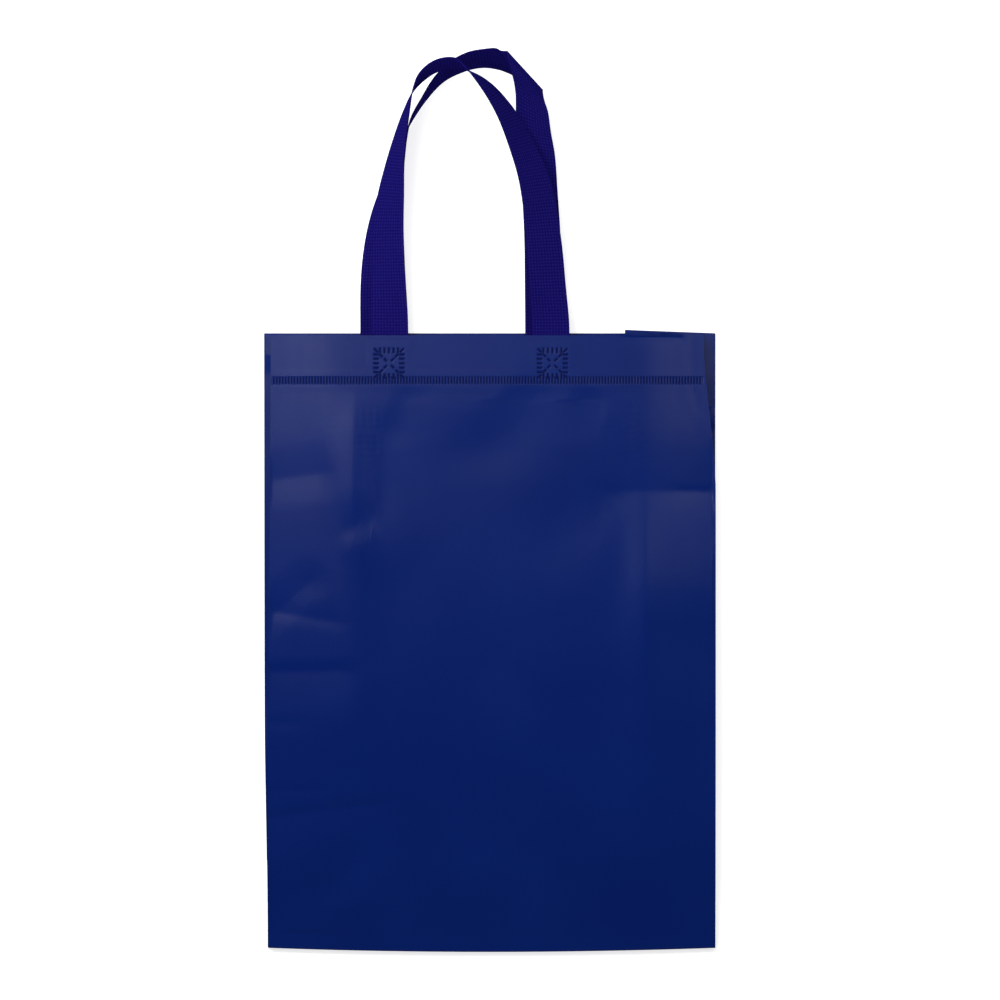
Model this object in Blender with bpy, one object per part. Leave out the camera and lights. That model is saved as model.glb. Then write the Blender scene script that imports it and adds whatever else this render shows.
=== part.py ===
"""Laminated non-woven carrier bag, folded flat and lying on its back, with two strap handles.

The bag is one sheet: its sides are gussets folded in between front and back, and its
base is folded up under the back. Front up, X across, Y from the base to the mouth. Each
piece is drawn from the middle of the base's edge, and placed so that the origin is under
the middle of the whole.
"""
import math

import bmesh
import bpy
from mathutils import Vector

MM = 0.001

# The bag as it is made up, in millimetres
BAG_WIDTH = 302.0
BAG_HEIGHT = 410.0
BAG_DEPTH = 120.0
SHEET = 0.4
HEM_DEPTH = 30.0

# How it lies folded
FOLD_GAP = 0.5
BASE_EDGE_LIFT = 4.5
BASE_FOLD_LIFT = 8.0
SIDE_EDGE_LIFT = 10.4
GUSSET_LIFT = 14.2
CENTRE_LIFT = 12.0
MOUTH_LIFT = 13.6
IMPRINT_WIDTH = 20.0
RIGHT_IMPRINT_SHIFT = 14.0
BACK_SETTLE = 40.0
FRONT_SHIFT = 4.4
BACK_SHIFT = 0.4
BASE_TAPER = 2.0
BASE_BOW = 2.7
MOUTH_DRAW = 8.2
DRAW_LENGTH = 105.0
GUSSET_RISE = 3.8
BACK_RISE = 1.8

# Strap handles
STRAP_WIDTH = 25.0
STRAP_THICKNESS = 0.9
HANDLE_SPACING = 109.4
HANDLE_REACH = 185.0
FRONT_HANDLE_OFFSET = -13.0
REAR_HANDLE_OFFSET = -19.2
WELD_LENGTH = 32.0
SEAT_GAP = 0.3
FOLD_TUCK = 0.8
FOLD_RADIUS = 1.4

# Mesh fineness
GUSSET_CELLS = 6
CENTRE_CELLS = 10
PANEL_CELLS = 15
HEM_STEP = 0.6
STRAP_STEPS = 5

LAMINATE_BLUE = (0.016, 0.026, 0.125, 1.0)
STRAP_BLUE = (0.010, 0.009, 0.115, 1.0)

GUSSET = BAG_DEPTH / 2
HALF_WIDTH = BAG_WIDTH / 2
CREASE_X = HALF_WIDTH - GUSSET
HEM_LINE = BAG_HEIGHT - HEM_DEPTH
MIDDLE_Y = (BAG_HEIGHT + HANDLE_REACH + STRAP_WIDTH / 4 - BASE_BOW) / 2

UP_FACING = ("front", "side_back", "triangle", "flap")


def clear_scene():
    """Empty the file of its objects."""
    for obj in list(bpy.data.objects):
        bpy.data.objects.remove(obj, do_unlink=True)


def ease(value):
    """Smooth step from 0 to 1."""
    value = min(1.0, max(0.0, value))
    return value * value * (3 - 2 * value)


def mix(low, high, share):
    """Straight mix of two numbers."""
    return low + (high - low) * share


def satin(name, colour, roughness):
    """Plain satin material."""
    material = bpy.data.materials.new(name)
    material.use_nodes = True
    shader = material.node_tree.nodes["Principled BSDF"]
    shader.inputs["Base Color"].default_value = colour
    shader.inputs["Roughness"].default_value = roughness
    shader.inputs["Metallic"].default_value = 0.0
    return material


def add_object(name, mesh_data, material):
    """Turn a bmesh into an object in metres."""
    bmesh.ops.recalc_face_normals(mesh_data, faces=mesh_data.faces)
    bmesh.ops.scale(mesh_data, vec=(MM, MM, MM), verts=mesh_data.verts)
    mesh = bpy.data.meshes.new(name)
    mesh_data.to_mesh(mesh)
    mesh_data.free()
    mesh.materials.append(material)
    obj = bpy.data.objects.new(name, mesh)
    obj.location.y = -MIDDLE_Y * MM
    bpy.context.scene.collection.objects.link(obj)
    return obj


# Heights of the folded layers


def ply(y):
    """Room that one panel lying inside another takes, doubled up at the hem."""
    hemmed = ease((y - HEM_LINE + GUSSET / 2) / (GUSSET / 2))
    return FOLD_GAP + 2 * SHEET * (1 + hemmed)


def front_height(x, y):
    """The front's outer face: low along the base, high over the gussets, sunk between them."""
    reach = abs(x)
    over_gusset = ease((HALF_WIDTH - reach) / GUSSET)
    foot_of_step = CREASE_X + (RIGHT_IMPRINT_SHIFT if x > 0 else 0.0)
    inside = ease((foot_of_step - reach) / IMPRINT_WIDTH)
    body = mix(SIDE_EDGE_LIFT, GUSSET_LIFT, over_gusset)
    body = mix(body, CENTRE_LIFT, inside)
    hem = mix(SIDE_EDGE_LIFT, MOUTH_LIFT, ease((HALF_WIDTH - reach) / (GUSSET * 0.8)))
    body = mix(body, hem, ease((y - HEM_LINE + GUSSET) / (GUSSET * 0.9)))
    foot = mix(BASE_EDGE_LIFT, BASE_FOLD_LIFT, ease(y / GUSSET))
    return mix(foot, body, ease((y - GUSSET * 0.5) / (BAG_DEPTH * 1.1)))


def back_height(y):
    """The back's outer face: over the folded base, then down on the ground."""
    on_base = 2 * ply(0) + 2 * FOLD_GAP
    return on_base * ease((BAG_DEPTH + BACK_SETTLE + GUSSET / 6 - y) / BACK_SETTLE)


def height(layer, x, y):
    """Height of a layer's outer face."""
    if layer == "front":
        return front_height(x, y)
    if layer == "side_front":
        return front_height(x, y) - ply(y)
    if layer == "side_back":
        side = math.copysign(1.0, x)
        at_edge = back_height(y) + ply(y)
        at_crease = front_height(side * CREASE_X, y) - ply(y) - FOLD_GAP
        return mix(at_edge, at_crease, (HALF_WIDTH - abs(x)) / GUSSET)
    if layer == "back":
        return back_height(y)
    if layer == "flap":
        return 2 * ply(0) + FOLD_GAP
    if layer == "lower_side":
        return ply(0) + FOLD_GAP
    if layer == "triangle":
        return ply(0)
    return 0.0


def drift(layer, x, y):
    """How far a layer has slipped sideways and upwards, as the bag was laid down."""
    outward = max(0.0, (abs(x) - CREASE_X) / GUSSET)
    inward = 1.0 - outward
    near_mouth = ease((y - BAG_HEIGHT + DRAW_LENGTH) / DRAW_LENGTH)
    along = ease(y / BAG_HEIGHT)
    near_base = 1.0 - ease(y / (BAG_HEIGHT * 0.45))
    across = BASE_TAPER * outward * near_base if x < 0 else 0.0
    rise = BASE_BOW * ((x / HALF_WIDTH) ** 2 - 1) * (1.0 - ease(y / BAG_DEPTH))
    if layer in ("front", "side_front"):
        if x < 0:
            across += FRONT_SHIFT * outward * mix(0.25, 1.0, along)
        else:
            across -= MOUTH_DRAW * outward * near_mouth
    if layer in ("back", "side_back") and x < 0:
        across -= BACK_SHIFT * outward * along
    if layer in ("side_front", "side_back") and x > 0:
        rise += GUSSET_RISE * inward * near_mouth
    if layer in ("back", "side_back"):
        rise += BACK_RISE * near_mouth * (1.0 if layer == "back" else outward)
    return across, rise


class FoldedSheet:
    """Outer and inner skin of the folded bag on one lattice of lines in plan."""

    def __init__(self):
        self.mesh = bmesh.new()
        self.corners = {}
        self.partners = []
        self.xs = self.column_lines()
        self.ys = self.row_lines()
        self.last_x = len(self.xs) - 1
        self.last_y = len(self.ys) - 1
        self.fold_row = GUSSET_CELLS
        self.flap_row = 2 * GUSSET_CELLS

    def column_lines(self):
        """Lines across: even steps in each gusset and between the two creases."""
        cell = GUSSET / GUSSET_CELLS
        left = [-HALF_WIDTH + cell * i for i in range(GUSSET_CELLS)]
        middle = [mix(-CREASE_X, CREASE_X, i / CENTRE_CELLS) for i in range(CENTRE_CELLS + 1)]
        right = [CREASE_X + cell * (i + 1) for i in range(GUSSET_CELLS)]
        return left + middle + right

    def row_lines(self):
        """Lines up the bag: the folded base in the gussets' own steps, the panel, the hem."""
        cell = GUSSET / GUSSET_CELLS
        base = [cell * j for j in range(2 * GUSSET_CELLS + 1)]
        start = base[-1]
        stop = HEM_LINE - HEM_STEP
        panel = [mix(start, stop, (j + 1) / PANEL_CELLS) for j in range(PANEL_CELLS)]
        return base + panel + [HEM_LINE, (HEM_LINE + BAG_HEIGHT) / 2, BAG_HEIGHT]

    def column(self, side, step):
        """Index of the line that lies step cells in from the left (-1) or right (1) edge."""
        return step if side < 0 else self.last_x - step

    def inward_shift(self, layer, i, j):
        """Where the inner skin lies beside the outer one, in plan, as a share of the sheet."""
        side = -1 if i < self.last_x / 2 else 1
        step = i if side < 0 else self.last_x - i
        corner = 1 + math.sqrt(2)
        slant = math.sqrt(0.5)
        across = 0.0
        along = 0.0
        if step == 0:
            across = -1.0
        if j == 0:
            along = 1.0
        if layer in ("flap", "base") and j == self.flap_row:
            along = -1.0
        if layer in ("flap", "back") and j == self.fold_row:
            along = -1.0
        if layer in ("side_back", "lower_side") and j == self.fold_row:
            along = 1.0
        if layer in ("side_front", "side_back") and step == GUSSET_CELLS:
            across = -1.0
        if layer in ("side_front", "triangle") and step == j and 0 < step < GUSSET_CELLS:
            across = -slant
            along = -slant
        if layer in ("triangle", "lower_side") and step + j == self.flap_row and 0 < step < GUSSET_CELLS:
            across = -slant
            along = slant
        if layer == "triangle" and step == GUSSET_CELLS:
            across = -2 * slant
        if layer in ("side_back", "lower_side") and step == GUSSET_CELLS and j == self.fold_row:
            across = -corner
        if step == 0 and j == 0:
            across = -corner
        if step == 0 and j == self.flap_row and layer in ("flap", "base", "triangle", "lower_side"):
            across = -corner
            along = -1.0
        return side * across, along

    def corner(self, layer, i, j, inner=False):
        """The vertex of one layer on one crossing of the lattice."""
        key = (layer, i, j, inner)
        if key in self.corners:
            return self.corners[key]
        x = self.xs[i]
        y = self.ys[j]
        across, rise = drift(layer, x, y)
        point = Vector((x + across, y + rise, height(layer, x, y)))
        if layer in ("side_back", "lower_side") and j == self.fold_row:
            point.y -= ply(0)
        if inner:
            wall = SHEET * (2 if y >= HEM_LINE else 1)
            shift = self.inward_shift(layer, i, j)
            point.x += shift[0] * wall
            point.y += shift[1] * wall
            point.z += -wall if layer in UP_FACING else wall
        self.corners[key] = self.mesh.verts.new(point)
        return self.corners[key]

    def face(self, *places):
        """One face of the outer skin and its partner of the inner skin."""
        outer = self.mesh.faces.new([self.corner(*place) for place in places])
        self.mesh.faces.new([self.corner(*place, inner=True) for place in reversed(places)])
        self.partners.append((outer, places))

    def panel(self, layer, columns, rows):
        """A panel of whole cells."""
        for i in columns:
            for j in rows:
                self.face((layer, i, j), (layer, i + 1, j), (layer, i + 1, j + 1), (layer, i, j + 1))

    def slanted_panel(self, layer, side, rows, below=False, above=False):
        """A gusset panel cut off along a diagonal crease at its foot, its head or both."""
        for step in range(GUSSET_CELLS):
            near = self.column(side, step)
            far = self.column(side, step + 1)
            for j in rows:
                if below and j < step:
                    continue
                if above and j > self.flap_row - step - 1:
                    continue
                places = [(layer, near, j), (layer, far, j), (layer, far, j + 1), (layer, near, j + 1)]
                if below and j == step:
                    places.pop(1)
                if above and j == self.flap_row - step - 1:
                    places.pop(2)
                self.face(*places)

    def wall(self, first, second, places):
        """The short blunt strip that joins two layers along a crease."""
        for near, far in zip(places, places[1:]):
            self.face((first, *near), (first, *far), (second, *far), (second, *near))

    def edge_wall(self, first, second, row, through):
        """A strip across the whole bag, whose ends take in the side layers' corners."""
        self.wall(first, second, [(i, row) for i in range(1, self.last_x)])
        for side in (-1, 1):
            end = self.column(side, 0)
            near = self.column(side, 1)
            places = [(first, near, row), (first, end, row)]
            places += [(layer, end, row) for layer in through]
            places += [(second, end, row), (second, near, row)]
            self.face(*places)

    def build(self):
        """All panels and creases, the inner skin, and the raw edge round the mouth."""
        fold = self.fold_row
        flap = self.flap_row
        across = range(self.last_x)
        self.panel("front", across, range(self.last_y))
        self.panel("base", across, range(flap))
        self.panel("flap", across, range(fold, flap))
        self.panel("back", across, range(fold, self.last_y))
        self.edge_wall("front", "base", 0, ("side_front", "triangle"))
        self.edge_wall("flap", "base", flap, ("lower_side", "triangle"))
        self.wall("back", "flap", [(i, fold) for i in range(self.last_x + 1)])
        for side in (-1, 1):
            self.build_gusset(side)
        self.build_rim()
        return self.mesh

    def build_gusset(self, side):
        """One side of the bag, folded in and down into the base."""
        fold = self.fold_row
        flap = self.flap_row
        edge = self.column(side, 0)
        crease = self.column(side, GUSSET_CELLS)
        self.slanted_panel("side_front", side, range(self.last_y), below=True)
        self.slanted_panel("side_back", side, range(fold, self.last_y))
        self.slanted_panel("triangle", side, range(flap), below=True, above=True)
        self.slanted_panel("lower_side", side, range(fold, flap), above=True)
        self.wall("front", "side_front", [(edge, j) for j in range(self.last_y + 1)])
        self.wall("back", "side_back", [(edge, j) for j in range(fold, self.last_y + 1)])
        self.wall("base", "triangle", [(edge, j) for j in range(flap + 1)])
        self.wall("flap", "lower_side", [(edge, j) for j in range(fold, flap + 1)])
        self.wall("side_front", "side_back", [(crease, j) for j in range(fold, self.last_y + 1)])
        row = [(self.column(side, step), fold) for step in range(GUSSET_CELLS + 1)]
        self.wall("side_back", "lower_side", row)
        foot = [(self.column(side, step), step) for step in range(GUSSET_CELLS)]
        self.wall("side_front", "triangle", foot)
        head = [(self.column(side, step), flap - step) for step in range(GUSSET_CELLS + 1)]
        self.wall("triangle", "lower_side", head)
        last = self.column(side, GUSSET_CELLS - 1)
        places = [("side_front", last, fold - 1), ("side_front", crease, fold), ("side_back", crease, fold)]
        places += [("lower_side", crease, fold), ("triangle", crease, fold), ("triangle", last, fold - 1)]
        self.face(*places)
        names = ("side_back", "back", "flap", "lower_side")
        self.face(*[(name, edge, fold) for name in names])

    def build_rim(self):
        """Close the raw edge of the mouth between the two skins."""
        for outer, places in self.partners:
            ring = zip(places, places[1:] + places[:1])
            for first, second in ring:
                if first[2] != self.last_y or second[2] != self.last_y:
                    continue
                ends = [self.corner(*first), self.corner(*second)]
                edge = self.mesh.edges.get(ends)
                if len(edge.link_faces) > 1:
                    continue
                inner = [self.corner(*second, inner=True), self.corner(*first, inner=True)]
                self.mesh.faces.new(ends + inner)


def handle_edges(stations, offset, ground):
    """The two edges of a strap from its stations.

    A station is the strap's middle (across as a share of half the spacing, up as a share
    of the reach from the mouth, lift in strap widths above the ground level given), the
    plan direction of a line across the strap, how far that line leans up from level,
    how much longer than the strap's width it is, and beside a fold the layer it is in:
    -1 for the lower, 1 for the upper, each drawn back from the fold along its own run.
    """
    outer = []
    inner = []
    for across, up, lift, turn, lean, stretch, layer in stations:
        middle = Vector((
            offset + across * HANDLE_SPACING / 2,
            BAG_HEIGHT + up * HANDLE_REACH,
            ground + lift * STRAP_WIDTH + layer * FOLD_RADIUS,
        ))
        turn = math.radians(turn)
        lean = math.radians(lean)
        level = math.cos(lean)
        ruling = Vector((level * math.cos(turn), level * math.sin(turn), math.sin(lean)))
        if layer:
            along_fold = Vector((ruling.x, ruling.y, 0)).normalized()
            off_fold = Vector((-along_fold.y, along_fold.x, 0))
            middle += (off_fold - layer * along_fold) * FOLD_TUCK
        ruling *= stretch * STRAP_WIDTH / 2
        outer.append(middle - ruling)
        inner.append(middle + ruling)
    return outer, inner


def smooth_path(points, knots):
    """A smooth curve through the points, in even steps between the knots."""
    slopes = []
    for n, point in enumerate(points):
        before = max(0, n - 1)
        after = min(len(points) - 1, n + 1)
        if n in (0, len(points) - 1):
            slopes.append((points[after] - points[before]) / (knots[after] - knots[before]))
            continue
        first = knots[n] - knots[before]
        second = knots[after] - knots[n]
        back = (point - points[before]) / first
        ahead = (points[after] - point) / second
        slopes.append((back * second + ahead * first) / (first + second))
    path = []
    for n in range(len(points) - 1):
        span = knots[n + 1] - knots[n]
        for k in range(STRAP_STEPS):
            t = k / STRAP_STEPS
            start = (2 * t ** 3 - 3 * t ** 2 + 1) * points[n] + (t ** 3 - 2 * t ** 2 + t) * span * slopes[n]
            stop = (3 * t ** 2 - 2 * t ** 3) * points[n + 1] + (t ** 3 - t ** 2) * span * slopes[n + 1]
            path.append(start + stop)
    path.append(points[-1].copy())
    return path


def strap(name, stations, offset, ground, material):
    """A strap of even thickness along its two edges."""
    outer, inner = handle_edges(stations, offset, ground)
    knots = [0.0]
    for n in range(1, len(outer)):
        knots.append(knots[-1] + max((outer[n] - outer[n - 1]).length, (inner[n] - inner[n - 1]).length))
    outer = smooth_path(outer, knots)
    inner = smooth_path(inner, knots)
    mesh_data = bmesh.new()
    rings = []
    for n in range(len(outer)):
        before = max(0, n - 1)
        after = min(len(outer) - 1, n + 1)
        forward = (outer[after] + inner[after]) - (outer[before] + inner[before])
        face = (inner[n] - outer[n]).cross(forward).normalized() * STRAP_THICKNESS / 2
        ring = [outer[n] - face, inner[n] - face, inner[n] + face, outer[n] + face]
        rings.append([mesh_data.verts.new(point) for point in ring])
    for first, second in zip(rings, rings[1:]):
        for k in range(4):
            mesh_data.faces.new((first[k], first[(k + 1) % 4], second[(k + 1) % 4], second[k]))
    mesh_data.faces.new(rings[0])
    mesh_data.faces.new(reversed(rings[-1]))
    return add_object(name, mesh_data, material)


# Stands on its edge at the left shoulder and leans out over its arch
FRONT_HANDLE = (
    (-0.99, 0.035, 0.0, 0, 1, 1.0, 0),
    (-1.005, 0.235, 0.09, 0, 26, 1.0, 0),
    (-1.01, 0.39, 0.14, -1, 33, 1.0, 0),
    (-0.97, 0.51, 0.21, -7, 46, 1.0, 0),
    (-0.92, 0.617, 0.29, -12, 60, 1.0, 0),
    (-0.865, 0.702, 0.36, -14, 69, 1.0, 0),
    (-0.775, 0.81, 0.50, -20, 80, 1.0, 0),
    (-0.70, 0.878, 0.62, -28, 89, 1.0, 0),
    (-0.592, 0.926, 0.84, -45, 99, 1.0, 0),
    (-0.37, 0.967, 1.08, -75, 103, 1.0, 0),
    (-0.185, 0.972, 1.17, -100, 100, 1.0, 0),
    (-0.03, 0.947, 1.17, -122, 88, 1.0, 0),
    (0.10, 0.918, 1.09, -132, 78, 1.0, 0),
    (0.42, 0.803, 0.78, -150, 61, 1.0, 0),
    (0.61, 0.69, 0.60, -160, 50, 1.0, 0),
    (0.76, 0.577, 0.50, -167, 38, 1.0, 0),
    (0.885, 0.366, 0.32, -176, 23, 1.0, 0),
    (0.945, 0.162, 0.13, -178, 13, 1.0, 0),
    (0.98, 0.035, 0.0, -180, 1, 1.0, 0),
)

# Stands on its edge along the arch, then folds over itself at the right shoulder
REAR_HANDLE = (
    (-1.01, 0.035, 0.0, 0, 1, 1.0, 0),
    (-1.01, 0.20, 0.12, 0, 14, 1.0, 0),
    (-0.995, 0.278, 0.18, -2, 20, 1.0, 0),
    (-0.94, 0.42, 0.31, -8, 39, 1.0, 0),
    (-0.86, 0.53, 0.38, -12, 55, 1.0, 0),
    (-0.775, 0.638, 0.43, -15, 68, 1.0, 0),
    (-0.685, 0.72, 0.46, -20, 83, 1.0, 0),
    (-0.62, 0.772, 0.465, -25, 90, 1.0, 0),
    (-0.47, 0.848, 0.46, -34, 94, 1.0, 0),
    (-0.25, 0.932, 0.45, -42, 102, 1.0, 0),
    (-0.03, 0.976, 0.43, -60, 110, 1.0, 0),
    (0.14, 0.995, 0.42, -74, 113, 1.0, 0),
    (0.31, 1.001, 0.43, -83, 115, 1.0, 0),
    (0.45, 0.997, 0.44, -66, 124, 1.02, 0),
    (0.775, 0.955, 0.58, -46, 154, 1.52, -1),
    (0.775, 0.955, 0.58, 134, 26, 1.52, 0),
    (0.775, 0.955, 0.58, 134, 26, 1.52, 1),
    (0.86, 0.848, 0.50, 147, 15, 1.08, 0),
    (0.885, 0.745, 0.45, 166, 16, 1.0, 0),
    (0.925, 0.665, 0.40, 175, 18, 1.0, 0),
    (0.96, 0.52, 0.32, 178, 18, 1.0, 0),
    (0.99, 0.375, 0.22, 180, 15, 1.0, 0),
    (1.005, 0.17, 0.08, 180, 8, 1.0, 0),
    (1.01, 0.035, 0.0, 180, 1, 1.0, 0),
)


def with_ends(stations):
    """The stations with the strap's two welded ends, which lie flat inside the hem."""
    weld = WELD_LENGTH / HANDLE_REACH
    ends = []
    for across, turn in ((stations[0][0], stations[0][3]), (stations[-1][0], stations[-1][3])):
        ends.append([(across, -share * weld, 0.0, turn, 0, 1.0, 0) for share in (1.0, 0.25)])
    return ends[0] + list(stations) + ends[1][::-1]


def main():
    """Build the bag and its two handles."""
    clear_scene()
    laminate = satin("laminate", LAMINATE_BLUE, 0.42)
    webbing = satin("strap", STRAP_BLUE, 0.5)
    add_object("bag_body", FoldedSheet().build(), laminate)
    seat = 2 * SHEET + SEAT_GAP + STRAP_THICKNESS / 2
    strap("front_handle", with_ends(FRONT_HANDLE), FRONT_HANDLE_OFFSET, MOUTH_LIFT - seat, webbing)
    strap("rear_handle", with_ends(REAR_HANDLE), REAR_HANDLE_OFFSET, seat, webbing)


main()
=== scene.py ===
"""The looks of a flat-folded laminated non-woven bag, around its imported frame."""
import math

import bmesh
import bpy
import numpy as np
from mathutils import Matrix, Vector
from mathutils.bvhtree import BVHTree


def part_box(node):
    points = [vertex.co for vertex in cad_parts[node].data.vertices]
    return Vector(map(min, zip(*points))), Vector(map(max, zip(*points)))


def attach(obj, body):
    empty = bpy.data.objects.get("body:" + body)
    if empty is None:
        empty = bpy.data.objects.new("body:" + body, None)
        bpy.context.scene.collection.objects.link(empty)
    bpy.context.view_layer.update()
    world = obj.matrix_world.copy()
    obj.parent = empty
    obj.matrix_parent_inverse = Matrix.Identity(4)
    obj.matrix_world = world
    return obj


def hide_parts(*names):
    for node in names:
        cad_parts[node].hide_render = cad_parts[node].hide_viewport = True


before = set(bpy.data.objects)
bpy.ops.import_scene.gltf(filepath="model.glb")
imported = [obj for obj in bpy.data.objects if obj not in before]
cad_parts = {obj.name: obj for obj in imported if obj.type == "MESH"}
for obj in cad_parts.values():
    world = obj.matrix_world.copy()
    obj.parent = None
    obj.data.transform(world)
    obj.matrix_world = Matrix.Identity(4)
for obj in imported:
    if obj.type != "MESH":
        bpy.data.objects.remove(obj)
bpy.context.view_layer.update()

# The bag's sheet: non-woven polypropylene with a satin navy film on its face, cut and
# welded into a gusseted bag, then pressed flat. The folds of the gussets inside print
# through the front, and handling has left soft creases that start at its side edges.
MM = 0.001
BASE_BOW = 2.7
LOW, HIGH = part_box("bag_body")
BASE_Y = LOW.y + BASE_BOW * MM
MERGE_DISTANCE = 0.01
SQUARE_ANGLE = 80
BAG_FLATNESS = 12


def deselect():
    """Clear the selection of objects."""
    bpy.ops.object.select_all(action="DESELECT")


def only(obj):
    """Make an object the one that is selected and active."""
    deselect()
    obj.select_set(True)
    bpy.context.view_layer.objects.active = obj


def merged_copy(node, name, flatness):
    """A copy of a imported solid, its loose triangles joined up and made quads again."""
    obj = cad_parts[node].copy()
    obj.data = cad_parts[node].data.copy()
    obj.name = name
    obj.data.name = name
    obj.data.materials.clear()
    bpy.context.scene.collection.objects.link(obj)
    only(obj)
    bpy.ops.object.mode_set(mode="EDIT")
    bpy.ops.mesh.select_all(action="SELECT")
    bpy.ops.mesh.remove_doubles(threshold=MERGE_DISTANCE * MM)
    bpy.ops.mesh.tris_convert_to_quads(
        face_threshold=math.radians(flatness), shape_threshold=math.radians(SQUARE_ANGLE)
    )
    bpy.ops.object.mode_set(mode="OBJECT")
    return obj


def surface_of(shape, faces):
    """The faces given of a bmesh, ready for rays."""
    places = [vert.co.copy() for vert in shape.verts]
    return BVHTree.FromPolygons(places, [[vert.index for vert in face.verts] for face in faces])


def top_of(surface, x, y):
    """Height of a surface at a place in plan, or None beside it."""
    hit = surface.ray_cast(Vector((x, y, 1.0)), Vector((0.0, 0.0, -1.0)))
    return hit[0].z if hit[0] is not None else None


bag = merged_copy("bag_body", "bag_sheet", BAG_FLATNESS)
shape = bmesh.new()
shape.from_mesh(bag.data)
shape.verts.index_update()
packed = surface_of(shape, shape.faces)

# The front is cut into fine cells and the layers right under it into coarser ones
FRONT = 2
UNDER_FRONT = 1
FRONT_CELL = 2.3
LAYER_CELL = 5.0
HALVINGS = 3
LEVEL_ENOUGH = 0.9
FRONT_PLY = 0.3
UPPER_SHARE = 0.6
part_of_bag = shape.faces.layers.int.new("part_of_bag")
for face in shape.faces:
    middle = face.calc_center_median()
    top = top_of(packed, middle.x, middle.y)
    if top is None or abs(face.normal.z) < LEVEL_ENOUGH:
        continue
    if face.normal.z > 0 and middle.z > top - FRONT_PLY * MM:
        face[part_of_bag] = FRONT
    elif middle.z > UPPER_SHARE * top:
        face[part_of_bag] = UNDER_FRONT
for n in range(HALVINGS):
    long_edges = []
    for edge in shape.edges:
        kind = max(face[part_of_bag] for face in edge.link_faces)
        limit = (math.inf, LAYER_CELL, FRONT_CELL)[kind] * MM
        if edge.calc_length() > limit:
            long_edges.append(edge)
    bmesh.ops.subdivide_edges(shape, edges=long_edges, cuts=1, use_grid_fill=True)

# The hem's faces have many corners and stay long, so they are cut along an even grid
HEM_FOOT = BASE_Y + 366.0 * MM
CUT_TOLERANCE = 0.02
hem_faces = [f for f in shape.faces if f[part_of_bag] and f.calc_center_median().y > HEM_FOOT]
cut_up = dict.fromkeys(hem_faces)
for face in hem_faces:
    cut_up.update(dict.fromkeys((*face.edges, *face.verts)))
cut_up = list(cut_up)
ACROSS = Vector((1.0, 0.0, 0.0))
UPWARDS = Vector((0.0, 1.0, 0.0))
for direction, first, last in ((ACROSS, LOW.x, HIGH.x), (UPWARDS, HEM_FOOT, HIGH.y)):
    for place in np.arange(first, last, FRONT_CELL * MM)[1:]:
        made = bmesh.ops.bisect_plane(
            shape, geom=cut_up, dist=CUT_TOLERANCE * MM, plane_co=direction * place, plane_no=direction
        )
        cut_up = made["geom"]

# The front's height on an even grid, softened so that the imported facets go. A place counts
# as inside the front where it is nearly as high as the rest of its row, and its row isn't
# one of the low rows beyond the front's mouth, where only the back panel lies.
FIELD_STEP = 1.5
SOFTNESS = 4.0
NEAR_ROW = 0.8
NEAR_ALL = 0.4
columns = np.arange(LOW.x, HIGH.x, FIELD_STEP * MM)
rows = np.arange(LOW.y, HIGH.y, FIELD_STEP * MM)
heights = np.array([[top_of(packed, x, y) or 0.0 for x in columns] for y in rows])
row_height = np.median(heights, axis=1, keepdims=True)
inside = (heights > NEAR_ROW * row_height) & (heights > NEAR_ALL * np.median(heights))
reach = round(3 * SOFTNESS / FIELD_STEP)
kernel = np.exp(-0.5 * (np.arange(-reach, reach + 1) * FIELD_STEP / SOFTNESS) ** 2)
kernel /= kernel.sum()


def blur(grid):
    """A grid softened both ways."""
    for n in range(2):
        grid = np.array([np.convolve(line, kernel, mode="same") for line in grid]).T
    return grid


cover = blur(inside)
blurred = blur(heights * inside) / cover.clip(0.01)


def read(grid, x, y):
    """A grid's value at a place, in straight lines between its points."""
    i = min(max((x - LOW.x) / (FIELD_STEP * MM), 0.0), len(columns) - 1.001)
    j = min(max((y - LOW.y) / (FIELD_STEP * MM), 0.0), len(rows) - 1.001)
    column, row = int(i), int(j)
    i, j = i - column, j - row
    near = grid[row, column] * (1 - i) + grid[row, column + 1] * i
    far = grid[row + 1, column] * (1 - i) + grid[row + 1, column + 1] * i
    return near * (1 - j) + far * j


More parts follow.
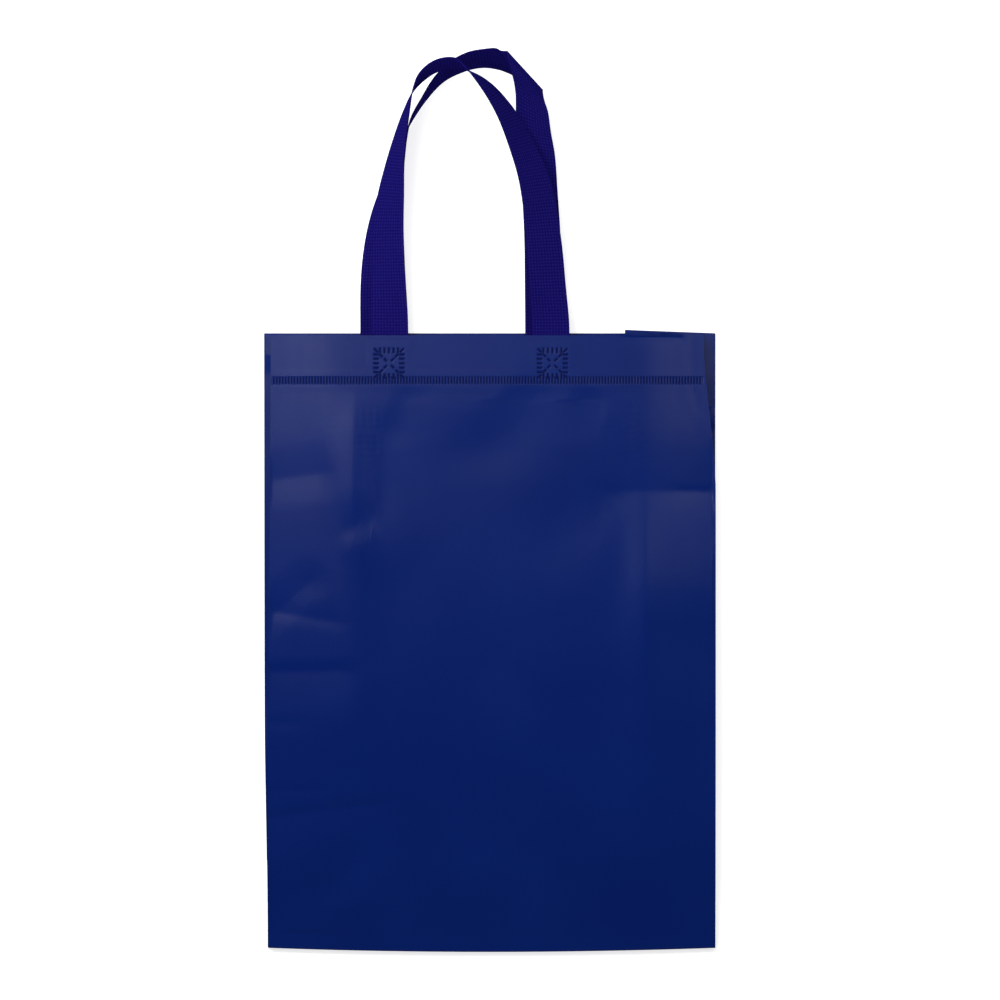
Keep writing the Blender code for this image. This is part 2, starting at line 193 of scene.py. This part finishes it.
# Each crease: from and to (mm from the bag's middle line, mm above its base edge), depth in
# mm (below zero is a ridge), how far it reaches on its upper and its lower side in mm, and
# how sharp it is, from 0 for a soft wave to 1 for a pressed fold.
CREASES = {
    "left_upper_notch": ((-147, 313), (-104, 319), 0.7, 26, 22, 0.6),
    "left_imprint_edge": ((-91, 368), (-91, 284), -1.4, 30, 22, 0.8),
    "left_ridge": ((-98, 266), (-54, 286), -1.2, 14, 40, 0.5),
    "left_middle_diagonal": ((-147, 222), (-113, 252), 0.7, 20, 16, 0.5),
    "left_middle_fold": ((-147, 226), (-93, 217), 0.4, 14, 11, 1.0),
    "left_main_fold": ((-147, 186), (-84, 187), 0.9, 9, 34, 0.9),
    "left_small_line": ((-147, 152), (-126, 150), 0.3, 7, 9, 0.8),
    "left_low_line": ((-147, 106), (-108, 106), 0.4, 6, 14, 1.0),
    "left_low_fold": ((-147, 88), (-68, 98), 0.9, 10, 26, 0.9),
    "right_notch": ((148, 305), (80, 306), 1.6, 44, 30, 0.7),
    "right_notch_tip": ((148, 306), (122, 307), 0.35, 5, 8, 1.0),
    "right_diagonal": ((84, 306), (32, 256), 1.8, 36, 16, 0.3),
    "right_band": ((104, 282), (104, 184), -1.1, 24, 16, 0.5),
    "right_ridge": ((148, 238), (90, 236), -1.7, 44, 40, 0.5),
    "right_low_line": ((38, 178), (96, 181), -0.6, 14, 12, 1.0),
    "middle_wave": ((40, 378), (-8, 322), 1.3, 24, 24, 0.0),
    "middle_dent": ((70, 372), (54, 340), 0.8, 16, 16, 0.0),
    "middle_wave_left": ((-48, 378), (-66, 336), 0.6, 16, 20, 0.0),
    "base_left_imprint": ((-74, 70), (-126, 20), 0.9, 26, 22, 0.4),
    "base_right_imprint": ((90, 83), (138, 18), 0.9, 15, 15, 0.5),
    "base_corner": ((-136, 23), (-94, 25), -0.9, 20, 28, 0.3),
}
SIDE_EDGE = 144
TIP_FADE = 0.45
TIP_OVERRUN = 0.15


def ease(value):
    """Smooth step from 0 to 1."""
    value = min(1.0, max(0.0, value))
    return value * value * (3 - 2 * value)


def crease_depth(x, y, start, stop, depth, upper, lower, sharp):
    """How deep one crease is at a place, in mm, fading out at the tips that lie inside."""
    (left_x, left_y), (right_x, right_y) = sorted((start, stop))
    length = math.hypot(right_x - left_x, right_y - left_y)
    along_x = (right_x - left_x) / length
    along_y = (right_y - left_y) / length
    place = (x - left_x) * along_x + (y - left_y) * along_y
    side = (y - left_y) * along_x - (x - left_x) * along_y
    away = min(1.0, abs(side) / (upper if side > 0 else lower))
    if away == 1.0:
        return 0.0
    fade = 1.0
    if left_x > -SIDE_EDGE:
        fade *= ease((place + TIP_OVERRUN * length) / (TIP_FADE * length))
    if right_x < SIDE_EDGE:
        fade *= ease(((1 + TIP_OVERRUN) * length - place) / (TIP_FADE * length))
    profile = sharp * (1 - away) ** 2 + (1 - sharp) * (1 - away * away) ** 2
    return depth * profile * fade


def press(x, y):
    """All the creases together, in metres, as a height to take off the front."""
    place = (x / MM, (y - BASE_Y) / MM)
    return sum(crease_depth(*place, *values) for values in CREASES.values()) * MM


# The front takes the softened heights, less the creases. Both fade out at its edges, where
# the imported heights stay, and the creases run on closer to them than the softening does.
CREASE_SPREAD = 2.5
shape.verts.index_update()
inner_verts = {v.index for v in shape.verts if all(f[part_of_bag] == FRONT for f in v.link_faces)}
shape.verts.ensure_lookup_table()
for index in inner_verts:
    x, y, z = shape.verts[index].co
    depth_in = 2 * read(cover, x, y) - 1
    z += (read(blurred, x, y) - z) * ease(depth_in) - press(x, y) * ease(CREASE_SPREAD * depth_in)
    shape.verts[index].co.z = z

# The layers inside follow the front, the more the higher they lie, and stay under it
LAYER_ROOM = 0.6
UNDER_TOP = 0.1
shape.verts.index_update()
front = surface_of(shape, [face for face in shape.faces if face[part_of_bag] == FRONT])
for vert in shape.verts:
    if vert.index in inner_verts:
        continue
    before = top_of(packed, vert.co.x, vert.co.y)
    after = top_of(front, vert.co.x, vert.co.y)
    if before and after and vert.co.z < before - UNDER_TOP * MM:
        vert.co.z += (after - before) * ease(vert.co.z / before)
        vert.co.z = min(vert.co.z, after - LAYER_ROOM * MM)
shape.to_mesh(bag.data)
shape.free()
bag.data.update()
only(bag)
FOLD_ANGLE = 35
bpy.ops.object.shade_smooth_by_angle(angle=math.radians(FOLD_ANGLE))


class Socket:
    """A shader value that can be reckoned with like a number."""

    tree = None

    def __init__(self, link):
        self.link = link

    @classmethod
    def node(cls, kind, settings=None, **inputs):
        """A node of a type with its settings, and the values or links of its sockets."""
        made = cls.tree.nodes.new(kind)
        for key, value in (settings or {}).items():
            setattr(made, key, value)
        for key, value in inputs.items():
            place = int(key[1:]) if key[0] == "i" and key[1:].isdigit() else key.replace("_", " ")
            socket = made.inputs[place]
            if isinstance(value, Socket):
                value.into(socket)
            else:
                socket.default_value = value
        return made

    def into(self, socket):
        """Link this value to a socket of a node."""
        Socket.tree.links.new(self.link, socket)

    def maths(self, operation, *others):
        """One Math node on this value and others."""
        values = {f"i{n}": value for n, value in enumerate((self, *others))}
        return Socket(Socket.node("ShaderNodeMath", {"operation": operation}, **values).outputs[0])

    def __add__(self, other):
        return self.maths("ADD", other)

    def __mul__(self, other):
        return self.maths("MULTIPLY", other)

    def __sub__(self, other):
        return self.maths("SUBTRACT", other)

    def __rsub__(self, other):
        return self.maths("MULTIPLY", -1.0).maths("ADD", other)

    def __pow__(self, other):
        return self.maths("POWER", other)

    __radd__ = __add__
    __rmul__ = __mul__

    def wave(self, pitch):
        """1 on every mark of a scale with this pitch, 0 halfway between two."""
        return (self * (2 * math.pi / pitch)).maths("COSINE") * 0.5 + 0.5

    def between(self, low, high):
        """0 below the low mark, 1 above the high one, smooth in between."""
        made = Socket.node(
            "ShaderNodeMapRange", {"interpolation_type": "SMOOTHSTEP"},
            Value=self, From_Min=low, From_Max=high,
        )
        return Socket(made.outputs[0])


def new_material(name):
    """An empty node material, and its shader."""
    material = bpy.data.materials.new(name)
    material.use_nodes = True
    Socket.tree = material.node_tree
    return material, material.node_tree.nodes["Principled BSDF"]


def noise(place, scale, detail, roughness=0.5):
    """A cloudy value from 0 to 1 over the piece."""
    made = Socket.node("ShaderNodeTexNoise", Vector=place, Scale=scale, Detail=detail, Roughness=roughness)
    return Socket(made.outputs[0])


def blend_colour(share, low, high):
    """A colour between two others."""
    made = Socket.node("ShaderNodeMix", {"data_type": "RGBA"}, i0=share, i6=low, i7=high)
    return Socket(made.outputs[2])


def bumped(shader, height, distance):
    """Feed a height through a Bump node."""
    made = Socket.node("ShaderNodeBump", Strength=1.0, Distance=distance, Height=height)
    Socket(made.outputs[0]).into(shader.inputs["Normal"])


# The film: navy, faintly clouded, over the bonded points and fibres of the sheet. Where the
# welding horn fused it, it is duller, and its colour is darker by the skins' own attribute for
# the marks: a little for the fused film itself, the rest painted shade of the sunk bars.
NAVY = (0.0009, 0.0115, 0.116, 1.0)
NAVY_WORN = (0.0012, 0.0130, 0.124, 1.0)
FUSED_AND_PAINTED_SHADE = (0.0003, 0.0032, 0.052, 1.0)
CLOUD_SCALE = 14.0
FIBRE_SCALE = 900.0
POINT_PITCH = 1.05 * MM
FILM_ROUGHNESS = 0.25
FILM_UNEVENNESS = 0.04
FUSED_ROUGHNESS = 0.6
FILM_SPECULAR = 0.12
EMBOSS_DEPTH = 0.035 * MM

laminate, shader = new_material("laminated_navy")
place = Socket(Socket.node("ShaderNodeTexCoord").outputs["Object"])
cloud = noise(place, CLOUD_SCALE, 3.0)
fibres = noise(place, FIBRE_SCALE, 4.0, roughness=0.6)
cells = Socket.node("ShaderNodeTexVoronoi", Vector=place, Scale=1 / POINT_PITCH, Randomness=0.35)
points = Socket(cells.outputs[0]).between(0.05, 0.55)
fused_and_shade = Socket(Socket.node("ShaderNodeAttribute", {"attribute_name": "fused_and_shade"}).outputs["Fac"])
film = blend_colour(cloud.between(0.35, 0.7), NAVY, NAVY_WORN)
# The marks' colour is painted shade: darker than fused film alone, for the shade and missing sheen of the
# sunk bars.
blend_colour(fused_and_shade, film, FUSED_AND_PAINTED_SHADE).into(shader.inputs["Base Color"])
gloss = (cloud + fibres) * FILM_UNEVENNESS + fused_and_shade * FUSED_ROUGHNESS + FILM_ROUGHNESS
gloss.into(shader.inputs["Roughness"])
shader.inputs["Specular IOR Level"].default_value = FILM_SPECULAR
bumped(shader, points * 0.6 + fibres * 0.5, EMBOSS_DEPTH)
bag.data.materials.append(laminate)
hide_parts("bag_body")
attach(bag, "root")

# The welds: film fused where a horn with bars on its face was pressed on the sheet, in one
# row of bars along the hem and a box with a cross over each end of the front handle. Each
# is a thin skin laid on the front with the marks sunk in it, and the sheet makes room below.
WELD_RIM = 4.0
WELD_RISE = 0.05
WELD_BED = 0.6
PLY_REACH = 1.3
MARK_DEPTH = 0.45
MARK_SLOPE = 0.5
HEM_SKIN = ((-146.0, 371.4), (143.4, 388.6))
HEM_BED = ((-145.0, 376.6), (142.4, 383.2))
HEM_WELD_CELL = 0.34
HEM_BAR_PITCH = 1.98
HEM_BAR = (5.0, 0.9)
BOX_CENTRES = ((-67.4, 391.2), (41.8, 391.2))
BOX_SKIN = ((-16.6, -8.0), (16.6, 16.6))
BOX_BED = ((-12.6, -12.6), (12.6, 12.6))
BOX_CELL = 0.4
BOX_BAR = (3.7, 1.25)
BOX_BAR_PITCH = 3.0
BOX_RING = 8.6
CROSS_STROKES = ((1.4, 3.4), (4.2, 6.4))


def mark(x, y, centre, size, turn):
    """How far a place is pressed in by one rounded bar of the horn, from 0 to 1."""
    x -= centre[0]
    y -= centre[1]
    along = abs(x * math.cos(turn) + y * math.sin(turn)) - size[0] / 2
    across = abs(y * math.cos(turn) - x * math.sin(turn)) - size[1] / 2
    outside = math.hypot(max(0.0, along), max(0.0, across)) + min(0.0, max(along, across))
    return ease(0.5 - outside / MARK_SLOPE)


def hem_marks(x, y):
    """The row of upright bars along the hem."""
    nearest = round(x / HEM_BAR_PITCH) * HEM_BAR_PITCH
    middle = (HEM_BED[0][1] + HEM_BED[1][1]) / 2
    return mark(x, y, (nearest, middle), HEM_BAR, math.pi / 2)


def box_bars():
    """Centre, size and turn of each bar of a box weld, from the box's own centre."""
    bars = []
    for n in range(-2, 3):
        step = n * BOX_BAR_PITCH
        bars.append(((-BOX_RING, step), BOX_BAR, 0.0))
        bars.append(((BOX_RING, step), BOX_BAR, 0.0))
        bars.append(((step, BOX_RING), BOX_BAR, math.pi / 2))
        bars.append(((step, -BOX_RING), BOX_BAR, math.pi / 2))
    for side_x in (-1, 1):
        for side_y in (-1, 1):
            turn = math.atan2(side_y, side_x)
            bars.append(((side_x * BOX_RING, side_y * BOX_RING), BOX_BAR, turn))
            for near, far in CROSS_STROKES:
                middle = (near + far) / 2
                size = ((far - near) * math.sqrt(2), BOX_BAR[1])
                bars.append(((side_x * middle, side_y * middle), size, turn))
    return bars


BOX_BARS = box_bars()


def all_marks(x, y):
    """The marks of all the welds together."""
    found = [hem_marks(x, y)]
    for centre in BOX_CENTRES:
        if abs(x - centre[0]) < BOX_SKIN[1][0]:
            found.extend(mark(x - centre[0], y - centre[1], *bar) for bar in BOX_BARS)
    return max(found)


lowered = set()


def make_room(low, high):
    """Lower the sheet between two corners, for the marks of the skin that will cover it."""
    for vert in bag.data.vertices:
        x, y = vert.co.x / MM, (vert.co.y - BASE_Y) / MM
        if low[0] < x < high[0] and low[1] < y < high[1] and vert.index not in lowered:
            if vert.co.z > top_of(front, vert.co.x, vert.co.y) - PLY_REACH * MM:
                vert.co.z -= WELD_BED * MM
                lowered.add(vert.index)


def weld_skin(name, low, high, cell):
    """A skin of welded film on the front between two corners, with the horn's marks in it and their share
    of painted shade.
    """
    width = high[0] - low[0]
    depth = high[1] - low[1]
    deselect()
    bpy.ops.mesh.primitive_grid_add(
        x_subdivisions=round(width / cell), y_subdivisions=round(depth / cell),
        size=1.0, calc_uvs=False, location=(0, 0, 0),
    )
    skin = bpy.context.object
    skin.name = name
    skin.data.name = name
    # Each place's share of the marks: it makes the film duller, and paints the sunk bars darker as painted
    # shade.
    fused_and_shade = skin.data.attributes.new("fused_and_shade", "FLOAT", "POINT")
    for vert, share in zip(skin.data.vertices, fused_and_shade.data):
        x = low[0] + (vert.co.x + 0.5) * width
        y = low[1] + (vert.co.y + 0.5) * depth
        rim = min(x - low[0], high[0] - x, y - low[1], high[1] - y)
        share.value = all_marks(x, y)
        lift = WELD_RISE * ease(rim / WELD_RIM) - MARK_DEPTH * share.value
        top = top_of(front, x * MM, BASE_Y + y * MM)
        vert.co = (x * MM, BASE_Y + y * MM, top + lift * MM)
    bpy.ops.object.shade_smooth()
    skin.data.materials.append(laminate)
    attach(skin, "root")
    return skin


make_room(*HEM_BED)
welds = [weld_skin("hem_weld", *HEM_SKIN, HEM_WELD_CELL)]
for name, centre in zip(("left_box_weld", "right_box_weld"), BOX_CENTRES):
    make_room(*[(centre[0] + corner[0], centre[1] + corner[1]) for corner in BOX_BED])
    corners = [(centre[0] + corner[0], centre[1] + corner[1]) for corner in BOX_SKIN]
    welds.append(weld_skin(name, *corners, BOX_CELL))

# The strap handles: point-bonded non-woven folded into a flat strap, welded inside the hem.
# Copies of the imported solids with soft bends, and a grid of small bonded points in even
# rows along and across each strap, painted lighter as painted highlights on their relief.
STRAP_DEEP = (0.0045, 0.0018, 0.082, 1.0)
STRAP_FUZZ_AND_HIGHLIGHT = (0.0180, 0.0165, 0.165, 1.0)
STRAP_ROUGHNESS = 0.8
STRAP_WIDTH = 25.0
STRAP_FLATNESS = 40
DOT_PITCH = (2.0, 2.1)
DOT_DEPTH = 0.10 * MM
FUZZ_SCALE = 700.0
CORNER_ANGLE = 60
BEND_ANGLE = 40


def strap_rings(shape):
    """The rings of four corners along a packed strap, from its left end on."""
    low = min(vert.co.y for vert in shape.verts)
    middle = sum(vert.co.x for vert in shape.verts) / len(shape.verts)
    ring = [v for v in shape.verts if v.co.y < low + MERGE_DISTANCE * MM and v.co.x < middle]
    seen = set(ring)
    rings = []
    while ring:
        rings.append(ring)
        ahead = {edge.other_vert(vert) for vert in ring for edge in vert.link_edges}
        ring = list(ahead - seen)
        seen.update(ring)
    return rings


def centre_of(verts):
    """Middle of some vertices."""
    return sum((vert.co for vert in verts), Vector()) / len(verts)


def map_strap(shape):
    """Unroll a strap: its width across the map and its length up it, in mm."""
    layer = shape.loops.layers.uv.new("strap_map")
    across = Vector((1.0, 0.0, 0.0))
    length = 0.0
    before = None
    places = {}
    for ring in strap_rings(shape):
        centre = centre_of(ring)
        if before is not None:
            length += (centre - before).length / MM
        before = centre
        right = [vert for vert in ring if (vert.co - centre).dot(across) > 0]
        left = [vert for vert in ring if vert not in right]
        for vert in ring:
            places[vert] = (STRAP_WIDTH if vert in right else 0.0, length)
        across = (centre_of(right) - centre_of(left)).normalized()
    for face in shape.faces:
        for loop in face.loops:
            loop[layer].uv = places[loop.vert]
    return places


def dress_strap(node, name):
    """The visible strap of one handle, its long edges crisp and its folds rounded."""
    obj = merged_copy(node, name, STRAP_FLATNESS)
    shape = bmesh.new()
    shape.from_mesh(obj.data)
    places = map_strap(shape)
    sharp = shape.edges.layers.float.new("crease_edge")
    for edge in shape.edges:
        runs_along = places[edge.verts[0]][1] != places[edge.verts[1]][1]
        if runs_along and edge.calc_face_angle() > math.radians(CORNER_ANGLE):
            edge[sharp] = 1.0
    shape.to_mesh(obj.data)
    shape.free()
    smoother = obj.modifiers.new("smooth", "SUBSURF")
    smoother.levels = 2
    smoother.render_levels = 2
    bpy.ops.object.modifier_apply(modifier=smoother.name)
    bpy.ops.object.shade_smooth_by_angle(angle=math.radians(BEND_ANGLE))
    return obj


webbing, shader = new_material("strap_blue")
place = Socket(Socket.node("ShaderNodeTexCoord").outputs["Object"])
fuzz = noise(place, FUZZ_SCALE, 3.0)
strap_map = Socket(Socket.node("ShaderNodeUVMap", {"uv_map": "strap_map"}).outputs[0])
across, along = Socket.node("ShaderNodeSeparateXYZ", Vector=strap_map).outputs[:2]
dots = (Socket(across).wave(DOT_PITCH[0]) * Socket(along).wave(DOT_PITCH[1])) ** 1.5
# The points are painted lighter as painted highlights, as the strap has no specular; the fuzz varies the
# tone at random.
blend_colour(dots * 0.6 + fuzz * 0.3, STRAP_DEEP, STRAP_FUZZ_AND_HIGHLIGHT).into(shader.inputs["Base Color"])
shader.inputs["Roughness"].default_value = STRAP_ROUGHNESS
shader.inputs["Specular IOR Level"].default_value = 0.0
bumped(shader, dots + fuzz * 0.4, DOT_DEPTH)
for node, name in (("front_handle", "front_strap"), ("rear_handle", "rear_strap")):
    piece = dress_strap(node, name)
    piece.data.materials.append(webbing)
    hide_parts(node)
    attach(piece, "root")

# The table: a plain white studio table that glows a little to the camera and to rays that
# mirror or pass through a piece, so that it stays white and still takes the bag's shadow.
TABLE_SIZE = 60.0
TABLE_DROP = 0.2
TABLE_WHITE = (0.9, 0.9, 0.9, 1.0)
TABLE_GLOW = 0.6
deselect()
bpy.ops.mesh.primitive_plane_add(size=TABLE_SIZE, location=(0, 0, -TABLE_DROP * MM))
floor = bpy.context.object
floor.name = "floor"
floor_material, shader = new_material("white_table")
shader.inputs["Base Color"].default_value = TABLE_WHITE
shader.inputs["Roughness"].default_value = 0.9
shader.inputs["Specular IOR Level"].default_value = 0.0
paths = Socket.node("ShaderNodeLightPath")
seen = Socket(paths.outputs["Is Camera Ray"]) + Socket(paths.outputs["Is Glossy Ray"])
seen = (seen + Socket(paths.outputs["Is Transmission Ray"])).between(0.0, 1.0)
glow = Socket.node("ShaderNodeEmission", Color=(1, 1, 1, 1), Strength=seen * TABLE_GLOW)
both = Socket.node("ShaderNodeAddShader")
Socket(shader.outputs[0]).into(both.inputs[0])
Socket(glow.outputs[0]).into(both.inputs[1])
Socket(both.outputs[0]).into(floor_material.node_tree.nodes["Material Output"].inputs[0])
floor.data.materials.append(floor_material)


# The lamps: three wide dim ones hang over the mouth, left, far left and right of the middle.
# Their reflections are the sheen on the upper part of the film, which slopes and creases
# catch or miss. The fill lamp is large and far off, beyond the handles on the left.
def lamp(name, location, aim, size, watts):
    """A soft rectangular lamp aimed at a point."""
    deselect()
    bpy.ops.object.light_add(type="AREA", location=location)
    light = bpy.context.object
    light.name = name
    light.data.shape = "RECTANGLE"
    light.data.size, light.data.size_y = size
    light.data.energy = watts
    light.rotation_euler = (Vector(aim) - Vector(location)).to_track_quat("-Z", "Y").to_euler()
    light.visible_camera = False


lamp("key_lamp", (-0.16, 0.20, 0.70), (-0.16, 0.20, 0.0), (0.44, 0.30), 0.9)
lamp("corner_lamp", (-0.32, 0.20, 0.70), (-0.22, 0.15, 0.0), (0.24, 0.30), 1.3)
lamp("side_lamp", (0.32, 0.19, 0.70), (0.32, 0.19, 0.0), (0.24, 0.30), 0.95)
lamp("fill_lamp", (-1.5, 1.7, 1.9), (0.0, 0.0, 0.0), (1.6, 1.6), 44)

# The studio: white all round at table height, and darker towards the ceiling, so that the
# lamps' reflections stand out on the film.
CEILING = 0.10
world = bpy.data.worlds.new("studio")
bpy.context.scene.world = world
world.use_nodes = True
Socket.tree = world.node_tree
direction = Socket(Socket.node("ShaderNodeTexCoord").outputs["Generated"])
sky = Socket.node("ShaderNodeSeparateXYZ", Vector=direction)
from_top = (1.0 - Socket(sky.outputs[2])).between(0.0, 1.0)
background = world.node_tree.nodes["Background"]
background.inputs["Color"].default_value = (1, 1, 1, 1)
(from_top * (1 - CEILING) + CEILING).into(background.inputs["Strength"])

# The camera looks straight down, from far enough that the bag shows hardly any perspective
LENS = 200.0
SENSOR = 36.0
MM_PER_PIXEL = 0.668
FRAME_WIDTH = 1000 * MM_PER_PIXEL * MM
FRAME_CENTRE = (6.7 * MM, BASE_Y + 300 * MM)
FAR_ENOUGH = 200
distance = FRAME_WIDTH * LENS / SENSOR
deselect()
bpy.ops.object.camera_add(location=(*FRAME_CENTRE, distance + HIGH.z), rotation=(0, 0, 0))
camera = bpy.context.object
camera.data.lens = LENS
camera.data.sensor_width = SENSOR
camera.data.clip_end = FAR_ENOUGH
bpy.context.scene.camera = camera
bpy.context.scene.view_settings.view_transform = "Standard"
